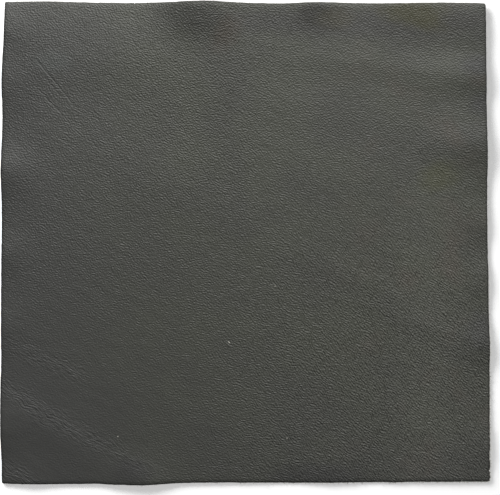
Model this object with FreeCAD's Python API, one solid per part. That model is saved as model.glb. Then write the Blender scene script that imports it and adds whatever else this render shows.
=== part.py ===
import FreeCAD, Part
import math
import os
from collections import namedtuple

# A square of tumbled full-grain leather, as cut from the hide and laid on a flat surface, grain side up.
# Millimetres, +Z up, +Y towards the edge with the biggest wave. The origin is the middle of the surface it lies on.
# The two natural layers of the hide are two solids, bonded over their whole face. The sheet lies flat in the middle,
# and its edges stand off the surface in soft waves.

# The cut: four nearly straight sides, with the corners a little out of square.
bottom_width = 305.4
left_height = 301.5
top_left_inset = 1.9
top_right_inset = 2.9
top_right_drop = 1.0
bottom_right_rise = 1.7
corner_radius = 1.2

# The layers.
grain_thickness = 0.4
flesh_thickness = 0.9

# How far the knife strayed outwards from each straight side: (share of the side's length, stray).
# Every side runs clockwise, so the top one starts at the top left corner.
top_strays = [(0.10, 0.3), (0.25, -0.4), (0.35, 0.1), (0.43, 0.4), (0.50, 0.0), (0.58, -0.3), (0.65, 0.3),
              (0.75, -0.1), (0.86, 0.1)]
right_strays = [(0.05, 0.3), (0.16, 0.2), (0.23, 0.2), (0.31, 0.4), (0.41, 0.0), (0.53, 0.1), (0.60, 0.3),
                (0.72, 0.5), (0.84, 0.4), (0.94, 0.0)]
bottom_strays = [(0.08, 0.2), (0.25, 0.4), (0.36, 0.5), (0.56, 0.0), (0.66, 0.6), (0.72, 1.3), (0.78, 0.7),
                 (0.93, 0.5)]
left_strays = [(0.06, 0.4), (0.12, 1.0), (0.27, 0.9), (0.36, 1.1), (0.45, 1.1), (0.56, 1.0), (0.66, 1.5),
               (0.75, 1.0), (0.84, 1.5), (0.92, 0.6)]

# The waves along each side: (share of the side's length, half of the wave's length, reach, height). A wave stands
# highest at the edge, and dies out at its reach in from the side.
top_waves = [(0.405, 30.0, 30.0, 5.0), (0.645, 17.0, 18.0, 2.6), (0.86, 42.0, 24.0, 1.8)]
right_waves = [(0.155, 18.0, 70.0, 2.6), (0.29, 19.0, 55.0, 2.8), (0.457, 17.0, 24.0, 1.6), (0.58, 16.0, 22.0, 1.5),
               (0.713, 18.0, 26.0, 2.2), (0.925, 18.0, 24.0, 1.4)]
bottom_waves = [(0.327, 30.0, 18.0, 1.2), (0.72, 30.0, 20.0, 2.0), (0.943, 15.0, 16.0, 1.0)]
left_waves = [(0.12, 20.0, 20.0, 1.8), (0.33, 18.0, 18.0, 1.4), (0.48, 16.0, 22.0, 1.8), (0.656, 18.0, 26.0, 2.8),
              (0.828, 18.0, 22.0, 1.6), (0.946, 13.0, 20.0, 1.4)]

# The waved surface is one cubic spline patch, with control points at most this far apart, drawn past the cut by a
# margin.
control_pitch = 7.5
margin = 12.0
degree = 3

Side = namedtuple("Side", "start end strays waves")


def make_sides():
    half_width = bottom_width / 2
    half_height = left_height / 2
    top_left = FreeCAD.Vector(top_left_inset - half_width, half_height, 0)
    top_right = FreeCAD.Vector(half_width - top_right_inset, half_height - top_right_drop, 0)
    bottom_right = FreeCAD.Vector(half_width, bottom_right_rise - half_height, 0)
    bottom_left = FreeCAD.Vector(-half_width, -half_height, 0)
    return [
        Side(top_left, top_right, top_strays, top_waves),
        Side(top_right, bottom_right, right_strays, right_waves),
        Side(bottom_right, bottom_left, bottom_strays, bottom_waves),
        Side(bottom_left, top_left, left_strays, left_waves),
    ]


def along_and_outward(side):
    along = FreeCAD.Vector(side.end - side.start).normalize()
    return along, FreeCAD.Vector(-along.y, along.x, 0)


def cut_edge(side):
    """The side's line as the knife left it, a spline from corner to corner."""
    outward = along_and_outward(side)[1]
    points = [side.start]
    for share, stray in side.strays:
        points.append(side.start + (side.end - side.start) * share + outward * stray)
    points.append(side.end)
    line = Part.BSplineCurve()
    line.interpolate(points)
    return line.toShape()


def bell(share):
    """One at nothing, and falling smoothly to nothing at one."""
    return math.cos(min(abs(share), 1) * math.pi / 2) ** 2


def lift_from(side, point):
    """How high the side's waves hold the sheet at a point."""
    along, outward = along_and_outward(side)
    offset = point - side.start
    place = offset.dot(along)
    inward = max(0.0, -offset.dot(outward))
    side_length = (side.end - side.start).Length
    height = 0.0
    for share, half_length, reach, crest in side.waves:
        height += crest * bell((place - share * side_length) / half_length) * bell(inward / reach)
    return height


def longest_reach(side):
    return max(reach for share, half_length, reach, crest in side.waves)


def spline_knots(low, high):
    """Even knots no further apart than the control pitch, and the places of the control points they call for."""
    spans = math.ceil((high - low) / control_pitch)
    knots = [low + (high - low) * i / spans for i in range(spans + 1)]
    multiplicities = [degree + 1] + [1] * (spans - 1) + [degree + 1]
    full = [low] * degree + knots + [high] * degree
    places = [sum(full[i + 1:i + 1 + degree]) / degree for i in range(spans + degree)]
    return knots, multiplicities, places


def waved_surface(sides):
    """The underside of the sheet as it lies: zero in the middle, standing off in waves towards the edges."""
    half_width = bottom_width / 2 + margin
    half_height = left_height / 2 + margin
    knots_x, counts_x, places_x = spline_knots(-half_width, half_width)
    knots_y, counts_y, places_y = spline_knots(-half_height, half_height)
    poles = []
    for x in places_x:
        column = []
        for y in places_y:
            height = sum(lift_from(side, FreeCAD.Vector(x, y, 0)) for side in sides)
            column.append(FreeCAD.Vector(x, y, height))
        poles.append(column)
    surface = Part.BSplineSurface()
    surface.buildFromPolesMultsKnots(poles, counts_x, counts_y, knots_x, knots_y, False, False, degree, degree)
    return surface.toShape()


def cutter(sides, height):
    """A tall block with the sheet's outline, its four upright corners rounded."""
    outline = Part.Wire([cut_edge(side) for side in sides])
    block = Part.Face(outline).extrude(FreeCAD.Vector(0, 0, height))
    block.translate(FreeCAD.Vector(0, 0, -height / 2))
    corners = []
    for edge in block.Edges:
        ends = [vertex.Point for vertex in edge.Vertexes]
        if len(ends) == 2 and abs(ends[0].z - ends[1].z) > height / 2:
            corners.append(edge)
    return block.makeFillet(corner_radius, corners)


def rest_block(sides, low, high):
    """The flat middle of a layer, between two heights. It stays clear of every wave and of the spline's blend."""
    clear = 2 * control_pitch
    top, right, bottom, left = sides
    x_low = -bottom_width / 2 + longest_reach(left) + clear
    x_high = bottom_width / 2 - top_right_inset - longest_reach(right) - clear
    y_low = -left_height / 2 + bottom_right_rise + longest_reach(bottom) + clear
    y_high = left_height / 2 - top_right_drop - longest_reach(top) - clear
    corner = FreeCAD.Vector(x_low, y_low, low)
    return Part.makeBox(x_high - x_low, y_high - y_low, high - low, corner)


def make_layer(sides, surface, outline_block, low, high):
    sheet = surface.copy()
    sheet.translate(FreeCAD.Vector(0, 0, low))
    waved = sheet.extrude(FreeCAD.Vector(0, 0, high - low)).common(outline_block)
    depth = outline_block.BoundBox.ZLength
    hole = rest_block(sides, low - depth, high + depth)
    return waved.cut(hole).fuse(rest_block(sides, low, high)).Solids[0]


sides = make_sides()
surface = waved_surface(sides)
total_height = surface.BoundBox.ZLength + grain_thickness + flesh_thickness
outline_block = cutter(sides, 4 * total_height)
layers = {
    "flesh_layer": make_layer(sides, surface, outline_block, 0.0, flesh_thickness),
    "grain_layer": make_layer(sides, surface, outline_block, flesh_thickness, flesh_thickness + grain_thickness),
}
box = outline_block.optimalBoundingBox()
to_centre = FreeCAD.Vector(-box.Center.x, -box.Center.y, 0)
os.makedirs("parts", exist_ok=True)
for name, layer in layers.items():
    layer.translate(to_centre)
    layer.exportStep(f"parts/{name}.step")
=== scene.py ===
import math

import bpy
import numpy as np
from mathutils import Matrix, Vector
from mathutils.bvhtree import BVHTree


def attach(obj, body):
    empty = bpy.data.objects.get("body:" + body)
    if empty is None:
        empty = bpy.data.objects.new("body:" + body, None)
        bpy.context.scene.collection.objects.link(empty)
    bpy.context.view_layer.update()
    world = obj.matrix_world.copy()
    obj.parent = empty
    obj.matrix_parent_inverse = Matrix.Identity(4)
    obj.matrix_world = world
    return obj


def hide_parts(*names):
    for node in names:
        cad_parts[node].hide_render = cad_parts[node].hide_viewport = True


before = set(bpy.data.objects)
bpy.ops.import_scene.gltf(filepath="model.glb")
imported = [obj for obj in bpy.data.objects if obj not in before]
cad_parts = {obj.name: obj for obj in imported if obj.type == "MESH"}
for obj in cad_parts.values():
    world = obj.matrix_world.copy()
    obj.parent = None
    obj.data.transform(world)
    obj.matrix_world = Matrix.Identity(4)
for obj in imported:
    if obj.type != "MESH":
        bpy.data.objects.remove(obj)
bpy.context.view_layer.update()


# Grain side.
# The outer skin of a cowhide, dyed through, sealed with a satin coat and tumbled until it wrinkled into
# fine pebbles. It is 0.4 mm thick, grows on the flesh layer below it, and rolls over a little at the cut.

mm = 0.001
cells_across = 296  # along X
cells_up = 292  # along Y
hidden_step = 4  # the hidden sides of a layer have one face where the grain has this many by this many
knife_wobble = 0.09 * mm
edge_roll = 0.34 * mm  # how far the knife pressed the edge down
facet_passes = 14  # how often the heights taken from the solid are evened out
# The cut edge from the top down: mm outwards, and the share of the thickness down.
grain_profile = [(-0.55, 0.0), (-0.22, 0.12), (-0.05, 0.42), (0.0, 1.0)]
frayed = 0.24 * mm  # how far the cut strays where the knife frayed it
fray_start = -0.111  # the Y below which it frayed the right side
fray_length = 0.03  # over which the fraying sets in
ridge_length = 2.0  # of the small folds in the grain, in mm
ridge_spacing = 1.55  # from one fold to the next, in mm
# Swells of the whole sheet: centre x, y, turn in degrees, half length, half width and height, in mm.
swells = [
    (-98, 117, -2, 72, 20, 1.35),
    (88, 111, -6, 60, 8, 0.45),
    (152, 136, 2, 42, 20, 1.65),
    (152, 83, 0, 34, 10, 0.9),
    (153, 46, 0, 22, 20, 1.0),
    (-153, 36, 0, 20, 17, 1.25),
    (50, -151, 0, 34, 12, -0.9),
    (78, 147, -1, 62, 9, -0.3),
    (70, -22, -24, 34, 7, 0.35),
    (112, -52, -20, 44, 7, 0.4),
    (-126, -114, -34, 46, 12, 0.65),
    (-40, 30, -28, 70, 16, 0.3),
    (20, 88, -12, 60, 12, 0.2),
    (96, -110, -40, 50, 14, 0.3),
]
crease_reach = 7 * mm  # how far wrinkles reach from the lines that they have gathered along
# Those lines, each a chain of points in mm.
creases = [
    [(-151.6, -88.8), (-138.4, -97), (-127.8, -107), (-113.4, -113.2), (-97.7, -122), (-83.3, -127.7),
     (-64, -140.8), (-49, -149)],
    [(-148, -142), (-139, -147), (-132, -153)],
    [(-150, -60), (-128, -72), (-104, -82)],
    [(104, 120), (122, 117), (142, 118)],
]
# Long scratches: centre x, y, turn in degrees, half length and depth, in mm.
scratches = [(-119.5, 101.5, -50, 18, 0.26), (-121.8, 99.6, -50, 10, 0.13), (-122, 88.5, -47, 13, 0.22),
             (-96, 118, -46, 9, 0.08), (-88, 92, -40, 9, 0.06), (12, 60, -20, 8, 0.06)]
# Stains in the colour, and darker grey patches of painted shade where the swells' slopes along the top, right
# and bottom edges face away from the light: centre x, y, turn in degrees, half length and half width in mm,
# and the colour.
stains_and_painted_shade = [
    (80, 139, -2, 95, 10, (0.038, 0.038, 0.0335, 1)),
    (115, 144, -10, 26, 10, (0.0415, 0.0405, 0.022, 1)),
    (-12, 136, 60, 14, 9, (0.041, 0.037, 0.029, 1)),
    (46, 146, 10, 13, 7, (0.0325, 0.0322, 0.0275, 1)),
    (60, 143, 0, 13, 8, (0.0365, 0.0348, 0.0245, 1)),
    (55, -143, 0, 34, 9, (0.0345, 0.0345, 0.032, 1)),
    (139, 141, 0, 15, 7, (0.0335, 0.0333, 0.028, 1)),
    (152, 113, 0, 16, 7, (0.0365, 0.037, 0.0335, 1)),
    (152, 88, 0, 11, 8, (0.0345, 0.035, 0.032, 1)),
    (124, 46, 20, 14, 11, (0.0445, 0.046, 0.029, 1)),
    (152, -52, 0, 12, 14, (0.036, 0.0365, 0.033, 1)),
    (-68, -140, 0, 13, 9, (0.0325, 0.0325, 0.0305, 1)),
    (-117, 115, 0, 13, 8, (0.048, 0.0505, 0.0465, 1)),
]
# Specks of lint caught in the grain: centre x, y, turn in degrees and half length, in mm.
lint = [(-10, -62, -40, 0.9), (-79.5, -120.8, 10, 0.5), (26.3, -122, 60, 0.5), (18.8, -26.8, 0, 0.45)]


class Wire:
    """A socket in a node tree. Used in an expression, it adds the Math nodes that the expression needs."""

    def __init__(self, tree, socket=None):
        self.tree = tree
        self.socket = socket

    def node(self, kind, settings, sockets, output=0):
        """Adds any other node. Its settings come first, then the value or the link of each socket."""
        node = self.tree.nodes.new(kind)
        for name, setting in settings.items():
            setattr(node, name, setting)
        for name, value in sockets.items():
            if isinstance(value, Wire):
                self.tree.links.new(value.socket, node.inputs[name])
            else:
                node.inputs[name].default_value = value
        return Wire(self.tree, node.outputs[output] if node.outputs else None)

    def sum(self, operation, *values):
        return self.node("ShaderNodeMath", {"operation": operation}, dict(enumerate(values)))

    def __add__(self, other):
        return self.sum("ADD", self, other)

    def __sub__(self, other):
        return self.sum("SUBTRACT", self, other)

    def __mul__(self, other):
        return self.sum("MULTIPLY", self, other)

    def __truediv__(self, other):
        return self.sum("DIVIDE", self, other)

    def __rtruediv__(self, other):
        return self.sum("DIVIDE", other, self)

    def __pow__(self, other):
        return self.sum("POWER", self, other)

    def __radd__(self, other):
        return self.sum("ADD", other, self)

    def __rsub__(self, other):
        return self.sum("SUBTRACT", other, self)

    def __rmul__(self, other):
        return self.sum("MULTIPLY", other, self)

    def ease(self, low, high):
        """Rises smoothly from nothing at low to one at high."""
        return self.node("ShaderNodeMapRange", {"interpolation_type": "SMOOTHSTEP"},
                         {"Value": self, "From Min": low, "From Max": high})

    def vector(self, operation, *values):
        return self.node("ShaderNodeVectorMath", {"operation": operation}, dict(enumerate((self, *values))))

    def scaled(self, factor):
        return self.node("ShaderNodeVectorMath", {"operation": "SCALE"}, {"Vector": self, "Scale": factor})

    def turned(self, degrees):
        return self.node("ShaderNodeVectorRotate", {"rotation_type": "Z_AXIS"},
                         {"Vector": self, "Angle": math.radians(degrees)})

    def length(self):
        return self.node("ShaderNodeVectorMath", {"operation": "LENGTH"}, {0: self}, "Value")

    def bell(self):
        """One where the vector is nothing, and soon nothing where it is longer than one."""
        squared = self.node("ShaderNodeVectorMath", {"operation": "DOT_PRODUCT"}, {0: self, 1: self}, "Value")
        return self.sum("EXPONENT", squared * -1.0)

    def x_and_y(self):
        parts = self.node("ShaderNodeSeparateXYZ", {}, {"Vector": self}).socket.node
        return Wire(self.tree, parts.outputs["X"]), Wire(self.tree, parts.outputs["Y"])

    def wander(self, scale, distance):
        """A soft random shift, of up to that distance, for a place to be moved by."""
        return self.scaled(scale).noise(1.0, 1.0, output="Color").scaled(distance)

    def noise(self, scale, detail=2.0, roughness=0.5, output="Fac"):
        return self.node("ShaderNodeTexNoise", {"noise_dimensions": "2D"},
                         {"Vector": self, "Scale": scale, "Detail": detail, "Roughness": roughness}, output)

    def mixed(self, first, second):
        """The first colour where this is nothing, and the second where it is one."""
        return self.node("ShaderNodeMix", {"data_type": "RGBA"}, {0: self, 6: first, 7: second}, 2)


def cut_line(node):
    """The layer's outline, anticlockwise from its bottom left corner, as four lines of points."""
    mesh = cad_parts[node].data
    upright = {v for face in mesh.polygons if abs(face.normal.z) < 0.3 for v in face.vertices}
    places = {(round(mesh.vertices[v].co.x, 6), round(mesh.vertices[v].co.y, 6)) for v in upright}
    ring = np.array(sorted(places, key=lambda p: math.atan2(p[1], p[0])))
    corners = [int(np.argmax(ring @ towards)) for towards in ((-1, -1), (1, -1), (1, 1), (-1, 1))]
    sides = []
    for start, end in zip(corners, corners[1:] + corners[:1]):
        count = (end - start) % len(ring)
        sides.append(ring[(start + np.arange(count + 1)) % len(ring)])
    return sides


def evenly(line, count):
    """The line with its points set at even distances."""
    lengths = np.concatenate([[0], np.cumsum(np.linalg.norm(np.diff(line, axis=0), axis=1))])
    at = np.linspace(0, lengths[-1], count + 1)
    return np.stack([np.interp(at, lengths, line[:, axis]) for axis in (0, 1)], axis=1)


def evened(heights, passes):
    for _ in range(passes):
        wide = np.pad(heights, 1, mode="edge")
        heights = (wide[:-2, 1:-1] + 2 * wide[1:-1, 1:-1] + wide[2:, 1:-1]) / 4
        wide = np.pad(heights, 1, mode="edge")
        heights = (wide[1:-1, :-2] + 2 * wide[1:-1, 1:-1] + wide[1:-1, 2:]) / 4
    return heights


def top_of(node, places):
    """How high the CAD node's upper side is at each place of a lattice."""
    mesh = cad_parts[node].data
    tree = BVHTree.FromPolygons([v.co for v in mesh.vertices], [tuple(p.vertices) for p in mesh.polygons])
    inset = 1 - 0.0015  # keeps each ray off the walls of the cut edge
    heights = np.zeros(places.shape[:2])
    for index in np.ndindex(heights.shape):
        x, y = places[index] * inset
        heights[index] = tree.ray_cast(Vector((x, y, 1)), Vector((0, 0, -1)))[0].z
    return heights


# The sheet's lattice: even cells between the four cut sides, with the knife's small wobble along them.
chance = np.random.default_rng(12)
bottom, right, top, left = cut_line("grain_layer")
bottom = evenly(bottom, cells_across)
top = evenly(top, cells_across)[::-1]
right = evenly(right, cells_up)
left = evenly(left, cells_up)[::-1]
for side, axis in ((bottom, 1), (top, 1), (right, 0), (left, 0)):
    short_waves = evened(chance.normal(size=(len(side), 1)), 2)
    long_waves = evened(chance.normal(size=(len(side), 1)), 40)
    side[1:-1, axis] += knife_wobble * (short_waves + 2.5 * long_waves)[1:-1, 0]
u = np.linspace(0, 1, cells_across + 1)[:, None, None]
v = np.linspace(0, 1, cells_up + 1)[None, :, None]
lattice = (1 - v) * bottom[:, None] + v * top[:, None] + (1 - u) * left[None] + u * right[None]
lattice -= (1 - v) * ((1 - u) * bottom[0] + u * bottom[-1]) + v * ((1 - u) * top[0] + u * top[-1])
grain_top = evened(top_of("grain_layer", lattice), facet_passes)
flesh_top = evened(top_of("flesh_layer", lattice), facet_passes)
middle = (cells_across // 2, cells_up // 2)
grain_thickness = grain_top[middle] - flesh_top[middle]
underside = grain_top - grain_top[middle]
steps_in = np.minimum(np.minimum(*np.mgrid[0:cells_across + 1, 0:cells_up + 1]),
                      np.minimum(*np.mgrid[cells_across:-1:-1, cells_up:-1:-1]))
grain_top = grain_top - edge_roll * np.exp(-(steps_in / 1.5) ** 2)

# The lattice's rim, anticlockwise, and the way out of the sheet at each of its points.
rim = [(i, 0) for i in range(cells_across)] + [(cells_across, j) for j in range(cells_up)]
rim += [(i, cells_up) for i in range(cells_across, 0, -1)] + [(0, j) for j in range(cells_up, 0, -1)]
rim = np.array(rim)
rim_line = lattice[rim[:, 0], rim[:, 1]]
rim_run = np.roll(rim_line, -1, axis=0) - np.roll(rim_line, 1, axis=0)
rim_out = np.stack([rim_run[:, 1], -rim_run[:, 0]], axis=1)
rim_out /= np.linalg.norm(rim_out, axis=1)[:, None]

# The knife frayed the cut on the right side, above the lower corner.
on_right = rim_out[:, 0] > 0.7
frayed_here = on_right * np.clip((fray_start - rim_line[:, 1]) / fray_length, 0, 1)
fray = frayed * frayed_here * chance.normal(size=len(rim))


def cell_rim(i, j, step):
    """The lattice points round a cell of that many steps. Along the sheet's rim it has them all."""
    i_end = i + step
    j_end = j + step
    below = [(k, j) for k in range(i, i_end, 1 if j == 0 else step)]
    beside = [(i_end, k) for k in range(j, j_end, 1 if i_end == cells_across else step)]
    above = [(k, j_end) for k in range(i_end, i, -1 if j_end == cells_up else -step)]
    before = [(i, k) for k in range(j_end, j, -1 if i == 0 else -step)]
    return below + beside + above + before


def layer_mesh(name, upper, lower, upper_step, lower_step, profile, flare, main_side):
    """A closed layer of the sheet between two heights of the lattice, with the cut edge's profile round it.

    Its map for baking gives nearly all the room to the main side.
    """
    main_size = 0.9
    hidden_origin = (0.905, 0.004)
    hidden_size = 0.09
    first_strip = 0.004  # one strip of the map for the cut edge of each side of the sheet
    strip_step = 0.023
    strip_height = 0.018
    edge_fading = 0.3  # how much of the cut edge's painted shade and roughness each of the first cells next to it has
    thickness = upper - lower
    points = []
    index = {}
    faces = []
    places = []

    def point(key, xy, z):
        if key not in index:
            index[key] = len(points)
            points.append((xy[0], xy[1], z))
        return index[key]

    out_by_ij = {tuple(ij): number for number, ij in enumerate(rim.tolist())}
    shown = {main_side: ((0.0, 1 - main_size), main_size), 1 - main_side: (hidden_origin, hidden_size)}
    for side, heights, step, stage in ((1, upper, upper_step, 0), (0, lower, lower_step, len(profile) - 1)):
        origin, size = shown[side]
        for i in range(0, cells_across, step):
            for j in range(0, cells_up, step):
                cell = cell_rim(i, j, step)
                if side == 0:
                    cell.reverse()
                face = []
                for ij in cell:
                    number = out_by_ij.get(ij)
                    if number is None:
                        face.append(point((side, ij), lattice[ij], heights[ij]))
                    else:
                        outward, down = profile[stage]
                        out = (outward * mm + flare[number] * down + fray[number]) * rim_out[number]
                        face.append(point(("rim", stage, number), lattice[ij] + out, heights[ij]))
                    share = ij[0] / cells_across if side else 1 - ij[0] / cells_across
                    places.append((origin[0] + size * share, origin[1] + size * ij[1] / cells_up))
                faces.append(face)
    for stage, (outward, down) in enumerate(profile[1:-1], 1):
        for number, (i, j) in enumerate(rim):
            out = (outward * mm + flare[number] * down + fray[number]) * rim_out[number]
            point(("rim", stage, number), lattice[i, j] + out, upper[i, j] - down * thickness[i, j])
    starts = [0, cells_across, cells_across + cells_up, 2 * cells_across + cells_up, len(rim)]
    for side in range(4):
        for number in range(starts[side], starts[side + 1]):
            after = (number + 1) % len(rim)
            side_length = starts[side + 1] - starts[side]
            along = [main_size * (k - starts[side]) / side_length for k in (number, number + 1)]
            for stage in range(len(profile) - 1):
                face = [index["rim", stage, number], index["rim", stage + 1, number],
                        index["rim", stage + 1, after], index["rim", stage, after]]
                strip = first_strip + strip_step * side
                down = [strip + strip_height * k / (len(profile) - 1) for k in (stage, stage + 1)]
                faces.append(face)
                places += [(along[0], down[0]), (along[0], down[1]), (along[1], down[1]), (along[1], down[0])]
    mesh = bpy.data.meshes.new(name)
    mesh.from_pydata(points, [], faces)
    mesh.uv_layers.new(name="OFBake").data.foreach_set("uv", np.array(places, np.float32).ravel())
    on_grain = mesh.attributes.new("upper_side", "FLOAT", "POINT")
    at_edge = mesh.attributes.new("cut_edge", "FLOAT", "POINT")
    for key, number in index.items():
        if key[0] == "rim":
            at_edge.data[number].value = 1
            on_grain.data[number].value = 1 if key[1] == 0 else 0
        else:
            i, j = key[1]
            cells_in = min(i, cells_across - i, j, cells_up - j)
            at_edge.data[number].value = max(0.0, edge_fading * (2 - cells_in))
            on_grain.data[number].value = key[0]
    mesh.shade_smooth()
    return mesh


def tree_inputs(tree, **kinds):
    """Gives a geometry tree its named inputs, and returns a wire to each."""
    tree.interface.new_socket("Geometry", in_out="OUTPUT", socket_type="NodeSocketGeometry")
    for name, kind in kinds.items():
        tree.interface.new_socket(name, in_out="INPUT", socket_type="NodeSocket" + kind)
    group = tree.nodes.new("NodeGroupInput")
    return [Wire(tree, group.outputs[name]) for name in kinds]


def grown(mesh, tree, **values):
    """The mesh that the tree makes of this one, with the tree's inputs set."""
    carrier = bpy.data.objects.new("carrier", mesh)
    bpy.context.scene.collection.objects.link(carrier)
    modifier = carrier.modifiers.new("tree", "NODES")
    modifier.node_group = tree
    for item in tree.interface.items_tree:
        if item.in_out == "INPUT" and item.name in values:
            modifier[item.identifier] = values[item.name]
    seen = carrier.evaluated_get(bpy.context.evaluated_depsgraph_get())
    made = bpy.data.meshes.new_from_object(seen)
    carrier.modifiers.remove(modifier)
    bpy.data.objects.remove(carrier)
    return made


def above_table(geometry):
    """Lifts whatever sank below the table up to it, and leaves the sideways places alone."""
    far_off = -1
    raised = geometry.node("GeometryNodeInputPosition", {}, {}).vector("MAXIMUM", (far_off, far_off, 0))
    return geometry.node("GeometryNodeSetPosition", {}, {"Geometry": geometry, "Position": raised})


def hide_tree():
    """Lays a layer of the hide as it lies: long low swells, and fine lumps in the grain."""
    tree = bpy.data.node_groups.new("hide_relief", "GeometryNodeTree")
    sheet, creased, lump_size, lump_height, finish = tree_inputs(
        tree, sheet="Geometry", creases="Object", lump_size="Float", lump_height="Float", finish="Material")
    wire = Wire(tree)
    place = wire.node("GeometryNodeInputPosition", {}, {}).vector("MULTIPLY", (1 / mm, 1 / mm, 0))
    upper = wire.node("GeometryNodeInputNamedAttribute", {"data_type": "FLOAT"}, {"Name": "upper_side"})
    lift = 0.25 * place.scaled(1 / 55).noise(1.0, 1.0)
    for x, y, turn, half_length, half_width, height in swells:
        near = place.vector("SUBTRACT", (x, y, 0)).turned(-turn)
        lift = lift + height * near.vector("DIVIDE", (half_length, half_width, 1)).bell()
    lines = wire.node("GeometryNodeObjectInfo", {}, {"Object": creased}, "Geometry")
    away = wire.node("GeometryNodeProximity", {"target_element": "EDGES"}, {"Geometry": lines}, "Distance")
    lumps = place.turned(32).vector("MULTIPLY", (0.45, 1, 1)).scaled(1 / lump_size).noise(1.0, 2.0)
    relief = upper * lump_height * (lumps - 0.5)
    offset = wire.node("ShaderNodeCombineXYZ", {}, {"Z": mm * (lift + relief)})
    laid = wire.node("GeometryNodeSetPosition", {}, {"Geometry": sheet, "Offset": offset})
    nearness = wire.sum("EXPONENT", (away / crease_reach) ** 2 * -1.0)
    laid = wire.node("GeometryNodeStoreNamedAttribute", {"data_type": "FLOAT", "domain": "POINT"},
                     {"Geometry": laid, "Name": "creasing", "Value": nearness})
    whole = wire.node("GeometryNodeRealizeInstances", {}, {"Geometry": above_table(laid)})
    done = wire.node("GeometryNodeSetMaterial", {}, {"Geometry": whole, "Material": finish})
    wire.node("NodeGroupOutput", {}, {"Geometry": done})
    return tree


def blank_material(name):
    """A new material with an empty tree, and a wire to build in it."""
    material = bpy.data.materials.new(name)
    material.use_nodes = True
    material.node_tree.nodes.clear()
    return material, Wire(material.node_tree)


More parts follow.
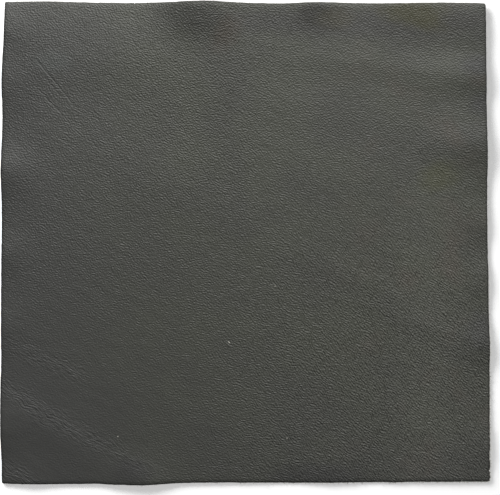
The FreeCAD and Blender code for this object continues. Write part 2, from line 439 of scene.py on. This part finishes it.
def grain_material():
    """Dark grey-olive pigment over fine folds and pebbles, with painted shade in the furrows and at the cut
    edge, patches of painted light and shade, and faint cloudy patches.

    The places, sizes and depths in it are in mm.
    """
    material, wire = blank_material("tumbled_grain")
    place = wire.node("ShaderNodeTexCoord", {}, {}, "Object").scaled(1 / mm)
    x, y = place.x_and_y()
    creasing = wire.node("ShaderNodeAttribute", {"attribute_name": "creasing"}, {}, "Fac")
    edge = wire.node("ShaderNodeAttribute", {"attribute_name": "cut_edge"}, {}, "Fac")

    # Tumbling folded the skin into short ridges and pebbles. They run down to the right, steeply on the right
    # side and nearly level at the top.
    rightwards = x.ease(-40, 90) * (1 - y.ease(0, 90))
    upwards = y.ease(20, 100) * x.ease(-70, -10) * (1 - 0.5 * x.ease(80, 150))
    course = -38 - 28 * rightwards + 44 * upwards  # in degrees
    strayed = place.vector("ADD", place.wander(0.16, 1.5))
    gabor_turn = 4  # the number of the Gabor node's socket for a flat texture's direction
    ridges = strayed.node("ShaderNodeTexGabor", {"gabor_type": "2D"}, {
        "Vector": strayed, "Scale": 1 / ridge_length, "Frequency": ridge_length / ridge_spacing,
        "Anisotropy": 0.28 + 0.22 * rightwards, gabor_turn: math.radians(1) * (90 + course)}, "Value")
    cells = strayed.turned(42).vector("MULTIPLY", (1 / 1.9, 1 / 1.25, 0))
    dome = cells.node("ShaderNodeTexVoronoi", {"voronoi_dimensions": "2D", "feature": "SMOOTH_F1"},
                      {"Vector": cells, "Scale": 1.0, "Smoothness": 0.15}, "Distance")
    height = 2.0 * (ridges - 0.5) + 0.5 * (0.5 - dome)

    # It left the lower left corner smooth but for its creases, and the lower right roughest.
    smooth_corner = (1 - x.ease(-130, 20)) * (1 - y.ease(-130, 20))
    patches = place.scaled(1 / 24).noise(1.0, 2.0)
    rough = 0.91 + 0.4 * (patches - 0.5) - 0.68 * smooth_corner
    rough = rough + 0.88 * x.ease(-60, 120) * (1 - y.ease(-80, 60)) - 0.14 * x.ease(20, 60) * y.ease(60, 110)
    rough = rough + 0.16 * x.ease(-110, -50) * (1 - x.ease(-20, 30)) * y.ease(0, 60)
    pore = place.noise(2.6, 1.0, 0.5)
    relief = 0.3 * rough * height + 0.02 * (pore - 0.5)
    waving = place.vector("ADD", place.wander(0.13, 3.2))
    wrinkle = waving.turned(31).vector("MULTIPLY", (0.18, 1.1, 0)).noise(1.0, 1.5, 0.6)
    relief = relief + 0.76 * creasing * smooth_corner * (wrinkle - 0.5)
    scratch_half_width = 0.5
    mean_stray = 0.75
    any_height = 1e6
    for scratch_x, scratch_y, turn, reach, depth in scratches:
        near = strayed.vector("SUBTRACT", (scratch_x + mean_stray, scratch_y + mean_stray, 0)).turned(-turn)
        relief = relief - depth * near.vector("DIVIDE", (reach, scratch_half_width, any_height)).bell()

    # The dye took unevenly: greyer to the left and below, browner to the right, with stained patches and
    # patches of painted shade.
    cloud = place.scaled(1 / 42).noise(1.0, 2.0)
    tint = place.vector("ADD", (300, 0, 0)).scaled(1 / 30).noise(1.0, 2.0)
    olive = cloud.ease(0.3, 0.7).mixed((0.0455, 0.0475, 0.0372, 1), (0.0415, 0.0425, 0.0355, 1))
    olive = (tint.ease(0.5, 0.8) * x.ease(20, 120)).mixed(olive, (0.049, 0.0455, 0.037, 1))
    greyness = (1 - x.ease(-150, -30)) * 0.9 + 0.35 * (1 - y.ease(-150, -40))
    base = greyness.mixed(olive, (0.0415, 0.0418, 0.039, 1))
    for stain_x, stain_y, turn, half_length, half_width, patch_colour in stains_and_painted_shade:
        near = place.vector("SUBTRACT", (stain_x, stain_y, 0)).turned(-turn)
        near = near.vector("DIVIDE", (half_length, half_width, any_height))
        near = near.vector("ADD", place.wander(1 / 9, 0.5))
        base = (1 - near.length().ease(0.4, 1.3)).mixed(base, patch_colour)
    # Painted light and shade in patches: a painted highlight along the top left edge and its corner, which
    # face the light, and painted shade on the slopes that face away from it at the top middle and by the wave
    # on the right. Besides that, it is lighter at the upper left, the right middle and the lower right, and a
    # little darker at the lower left.
    top_left_highlight = y.ease(124, 151) * (1 - x.ease(-75, -35))
    top_left_corner_highlight = y.ease(136, 150) * (1 - x.ease(-150, -120))
    top_middle_painted_shade = y.ease(90, 150) * x.ease(-60, 60)
    upper_left = x.ease(-140, -115) * (1 - x.ease(-50, -20)) * y.ease(20, 60) * (1 - y.ease(118, 135))
    right_wave_painted_shade = x.ease(120, 152) * y.ease(5, 40)
    right_middle = x.ease(80, 110) * (1 - x.ease(115, 145)) * (1 - y.ease(0, 60))
    lower_right = x.ease(-60, 150) * (1 - y.ease(-120, 120))
    lower_left = (1 - x.ease(-150, 0)) * (1 - y.ease(-150, -60))
    painted_light_and_tone = 0.925 + 0.38 * top_left_highlight + 0.14 * top_left_corner_highlight - 0.1 * top_middle_painted_shade + 0.09 * upper_left
    painted_light_and_tone = painted_light_and_tone - 0.17 * right_wave_painted_shade + 0.13 * right_middle + 0.24 * lower_right - 0.03 * lower_left
    # Painted shade: the furrows between the pebbles are darker, and so is the cut edge where it rolls down
    # away from the light, except along the top edge, which faces the light. The patches of painted light and
    # shade above come on top.
    shade = painted_light_and_tone * (0.84 + 0.3 * height.ease(-0.5, 0.8)) * (1 - 0.65 * edge * (1 - y.ease(147, 149)))
    colour = base.scaled(shade)
    roughness = 0.62 + 0.1 * (patches - 0.5) - 0.06 * height.ease(-0.4, 0.8) + 0.2 * edge
    lint_half_width = 0.35
    for speck_x, speck_y, turn, reach in lint:
        near = place.vector("SUBTRACT", (speck_x, speck_y, 0)).turned(-turn)
        far = near.vector("DIVIDE", (reach, lint_half_width, any_height)).length()
        colour = (0.8 * (1 - far.ease(0.6, 1.1))).mixed(colour, (0.4, 0.39, 0.34, 1))
    bump = wire.node("ShaderNodeBump", {}, {"Strength": 1.0, "Distance": mm, "Height": relief}, "Normal")
    surface = wire.node("ShaderNodeBsdfPrincipled", {}, {
        "Base Color": colour, "Roughness": roughness, "Normal": bump, "Specular IOR Level": 0.35})
    wire.node("ShaderNodeOutputMaterial", {}, {"Surface": surface})
    return material


crease_lines = bpy.data.meshes.new("crease_lines")
crease_points = [(x * mm, y * mm, 0) for chain in creases for x, y in chain]
chain_starts = np.cumsum([len(chain) for chain in creases])
crease_steps = [(k - 1, k) for k in range(1, len(crease_points)) if k not in chain_starts]
crease_lines.from_pydata(crease_points, crease_steps, [])
crease_guide = bpy.data.objects.new("crease_guide", crease_lines)
relief_inputs = {"creases": crease_guide, "lump_size": 4.5, "lump_height": 0.26}
hide = hide_tree()
no_flare = np.zeros(len(rim))
grain_raw = layer_mesh("grain_raw", grain_top, grain_top - grain_thickness,
                       1, hidden_step, grain_profile, no_flare, 1)
grain = bpy.data.objects.new("grain_side", grown(grain_raw, hide, finish=grain_material(), **relief_inputs))
bpy.context.scene.collection.objects.link(grain)
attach(grain, "root")
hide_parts("grain_layer")


# Flesh side.
# The fibrous inner part of the hide, 0.9 mm thick and left raw: a short pale suede nap underneath. The knife
# left its edge a little proud of the grain at the lower right.

flesh_step = 2  # the underside has one face where the grain has two by two
flesh_profile = [(0.0, 0.0), (0.06, 0.3), (0.12, 0.7), (0.0, 1.0)]
proud = 0.65 * mm


def flesh_material():
    """Raw suede: a fine pale nap lying one way, in faint clouds."""
    material, wire = blank_material("suede_flesh")
    place = wire.node("ShaderNodeTexCoord", {}, {}, "Object").scaled(1 / mm)
    nap = place.turned(20).vector("MULTIPLY", (0.9, 2.6, 2.0))
    fibres = nap.node("ShaderNodeTexNoise", {"noise_dimensions": "3D"},
                      {"Vector": nap, "Scale": 1.0, "Detail": 4.0, "Roughness": 0.65}, "Fac")
    cloud = place.node("ShaderNodeTexNoise", {"noise_dimensions": "3D"},
                       {"Vector": place.scaled(1 / 26), "Scale": 1.0, "Detail": 3.0}, "Fac")
    pale = cloud.ease(0.3, 0.7).mixed((0.30, 0.29, 0.26, 1), (0.38, 0.37, 0.335, 1))
    colour = pale.scaled(0.62 + 0.7 * fibres)
    relief = 0.22 * fibres + 0.3 * cloud
    bump = wire.node("ShaderNodeBump", {}, {"Strength": 1.0, "Distance": mm, "Height": relief}, "Normal")
    surface = wire.node("ShaderNodeBsdfPrincipled", {}, {
        "Base Color": colour, "Roughness": 0.93, "Normal": bump, "Specular IOR Level": 0.2,
        "Sheen Weight": 0.25})
    wire.node("ShaderNodeOutputMaterial", {}, {"Surface": surface})
    return material


# How near the lower right corner each point of the rim is, up to about one.
towards_lower_right = np.clip((rim_line[:, 0] - rim_line[:, 1]) / 0.3 - 0.15, 0, 1) ** 2
flesh_raw = layer_mesh("flesh_raw", grain_top - grain_thickness, underside, hidden_step,
                       flesh_step, flesh_profile, proud * towards_lower_right, 0)
flesh = bpy.data.objects.new("flesh_side", grown(flesh_raw, hide, finish=flesh_material(), **relief_inputs))
bpy.context.scene.collection.objects.link(flesh)
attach(flesh, "root")
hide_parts("flesh_layer")


# Loose fibres.
# Ends of the flesh layer's collagen fibres, pulled out by the knife. They stand out of the cut edge, most of
# them at the lower right, where the edge is proud.

fibre_length = 0.9 * mm
fibre_radius = 0.05 * mm
fibres_per_area = 3.6 / mm ** 2  # times the crowding below


def fibre_tree():
    """Short bent fibres, scattered over the cut edge and standing out of it."""
    tree = bpy.data.node_groups.new("loose_fibres", "GeometryNodeTree")
    layer, density, length, radius, finish = tree_inputs(
        tree, layer="Geometry", density="Float", length="Float", radius="Float", finish="Material")
    wire = Wire(tree)
    x, y = wire.node("GeometryNodeInputPosition", {}, {}).x_and_y()
    edge = wire.node("GeometryNodeInputNamedAttribute", {"data_type": "FLOAT"}, {"Name": "cut_edge"})
    by_face = {"data_type": "FLOAT", "domain": "FACE"}
    whole_face = wire.node("GeometryNodeFieldOnDomain", by_face, {"Value": edge})
    crowding = 0.2 + 1.6 * (x - y).ease(0.10, 0.28)  # thickest at the lower right
    scattered = tree.nodes.new("GeometryNodeDistributePointsOnFaces")
    scattered.distribute_method = "RANDOM"
    tree.links.new(layer.socket, scattered.inputs["Mesh"])
    tree.links.new((density * crowding).socket, scattered.inputs["Density"])
    tree.links.new(wire.sum("GREATER_THAN", whole_face, 0.99).socket, scattered.inputs["Selection"])
    scattered.inputs["Seed"].default_value = 5
    spine = wire.node("GeometryNodeCurveQuadraticBezier", {}, {
        "Resolution": 3, "Start": (0, 0, 0), "Middle": (0.1, 0, 0.5), "End": (0.45, 0.1, 0.85)})
    spine = wire.node("GeometryNodeSetCurveRadius", {}, {"Curve": spine, "Radius": 1.0})
    ring = wire.node("GeometryNodeCurvePrimitiveCircle", {}, {"Resolution": 3, "Radius": radius / length})
    fibre = wire.node("GeometryNodeCurveToMesh", {}, {
        "Curve": spine, "Profile Curve": ring, "Fill Caps": True})
    lean = wire.node("FunctionNodeRandomValue", {"data_type": "FLOAT_VECTOR"},
                     {"Min": (-0.9, -0.9, -3.14), "Max": (0.9, 0.9, 3.14), "Seed": 11})
    turn = wire.node("FunctionNodeRotateRotation", {"rotation_space": "LOCAL"},
                     {"Rotation": Wire(tree, scattered.outputs["Rotation"]),
                      "Rotate By": wire.node("FunctionNodeEulerToRotation", {}, {"Euler": lean})})
    spread = wire.node("FunctionNodeRandomValue", {"data_type": "FLOAT"}, {2: 0.35, 3: 1.6, "Seed": 3}, 1)
    placed = wire.node("GeometryNodeInstanceOnPoints", {}, {
        "Points": Wire(tree, scattered.outputs["Points"]), "Instance": fibre, "Rotation": turn,
        "Scale": spread * length})
    whole = wire.node("GeometryNodeRealizeInstances", {}, {"Geometry": placed})
    done = wire.node("GeometryNodeSetMaterial", {}, {"Geometry": above_table(whole), "Material": finish})
    wire.node("NodeGroupOutput", {}, {"Geometry": done})
    return tree


def fibre_material():
    """Undyed fibre, some of it paler."""
    material, wire = blank_material("loose_fibre")
    place = wire.node("ShaderNodeTexCoord", {}, {}, "Object").scaled(1 / mm)
    blotch = place.node("ShaderNodeTexNoise", {"noise_dimensions": "3D"},
                        {"Vector": place, "Scale": 0.8, "Detail": 1.0}, "Fac")
    colour = blotch.ease(0.35, 0.65).mixed((0.24, 0.235, 0.2, 1), (0.55, 0.54, 0.5, 1))
    surface = wire.node("ShaderNodeBsdfPrincipled", {}, {"Base Color": colour, "Roughness": 0.9})
    wire.node("ShaderNodeOutputMaterial", {}, {"Surface": surface})
    return material


fibres = bpy.data.objects.new("loose_fibres", grown(
    flesh.data.copy(), fibre_tree(), density=fibres_per_area, length=fibre_length, radius=fibre_radius,
    finish=fibre_material()))
bpy.context.scene.collection.objects.link(fibres)
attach(fibres, "root")


# Table, light and camera.
# A white table under the sheet and a camera straight above. A window beyond the top edge lights the leather
# across its grain, and the table has a broad lamp of its own at the upper left, so that the soft shadow falls
# to the right and below.

table_reach = 4
under_sheet = 0.2 * mm  # keeps the table's face off the sheet's
table = bpy.data.objects.new("floor", bpy.data.meshes.new("floor"))
corners = ((-1, -1), (1, -1), (1, 1), (-1, 1))
table_points = [(table_reach * x, table_reach * y, -under_sheet) for x, y in corners]
table.data.from_pydata(table_points, [], [(0, 1, 2, 3)])
white = bpy.data.materials.new("white_table")
white.use_nodes = True
for name, value in (("Base Color", (0.88, 0.88, 0.88, 1)), ("Roughness", 0.8), ("Specular IOR Level", 0.1),
                    ("Emission Color", (1, 1, 1, 1)), ("Emission Strength", 0.3)):
    white.node_tree.nodes["Principled BSDF"].inputs[name].default_value = value
table.data.materials.append(white)
bpy.context.scene.collection.objects.link(table)

world = bpy.data.worlds.new("studio")
world.use_nodes = True
world.node_tree.nodes["Background"].inputs["Color"].default_value = (1, 1, 1, 1)
world.node_tree.nodes["Background"].inputs["Strength"].default_value = 0.3
bpy.context.scene.world = world

# Each lamp's place, size and power, and whether it leaves out the table or lights nothing else.
lamps = [("window", (0.2, 1.12, 0.72), (0.8, 0.6), 37, "EXCLUDE"),
         ("table_lamp", (-1.15, 1.3, 0.52), (1.3, 0.56), 86, "INCLUDE")]
for name, place, size, energy, state in lamps:
    lamp = bpy.data.objects.new(name, bpy.data.lights.new(name, "AREA"))
    lamp.data.shape = "RECTANGLE"
    lamp.data.size, lamp.data.size_y = size
    lamp.data.energy = energy
    lamp.location = place
    lamp.rotation_euler = (-Vector(place)).to_track_quat("-Z", "Y").to_euler()
    lit = bpy.data.collections.new(name)
    lit.objects.link(table)
    lit.collection_objects[0].light_linking.link_state = state
    lamp.light_linking.receiver_collection = lit
    bpy.context.scene.collection.objects.link(lamp)

view_width = 0.3132  # how much of the table the frame spans
view_middle = (3.1 * mm, -2.7 * mm)
stand_height = 0.87
camera = bpy.data.objects.new("camera", bpy.data.cameras.new("camera"))
camera.data.sensor_width = 36
camera.data.lens = camera.data.sensor_width * stand_height / view_width
camera.location = (*view_middle, stand_height)
bpy.context.scene.collection.objects.link(camera)
bpy.context.scene.camera = camera
bpy.context.scene.view_settings.view_transform = "Standard"
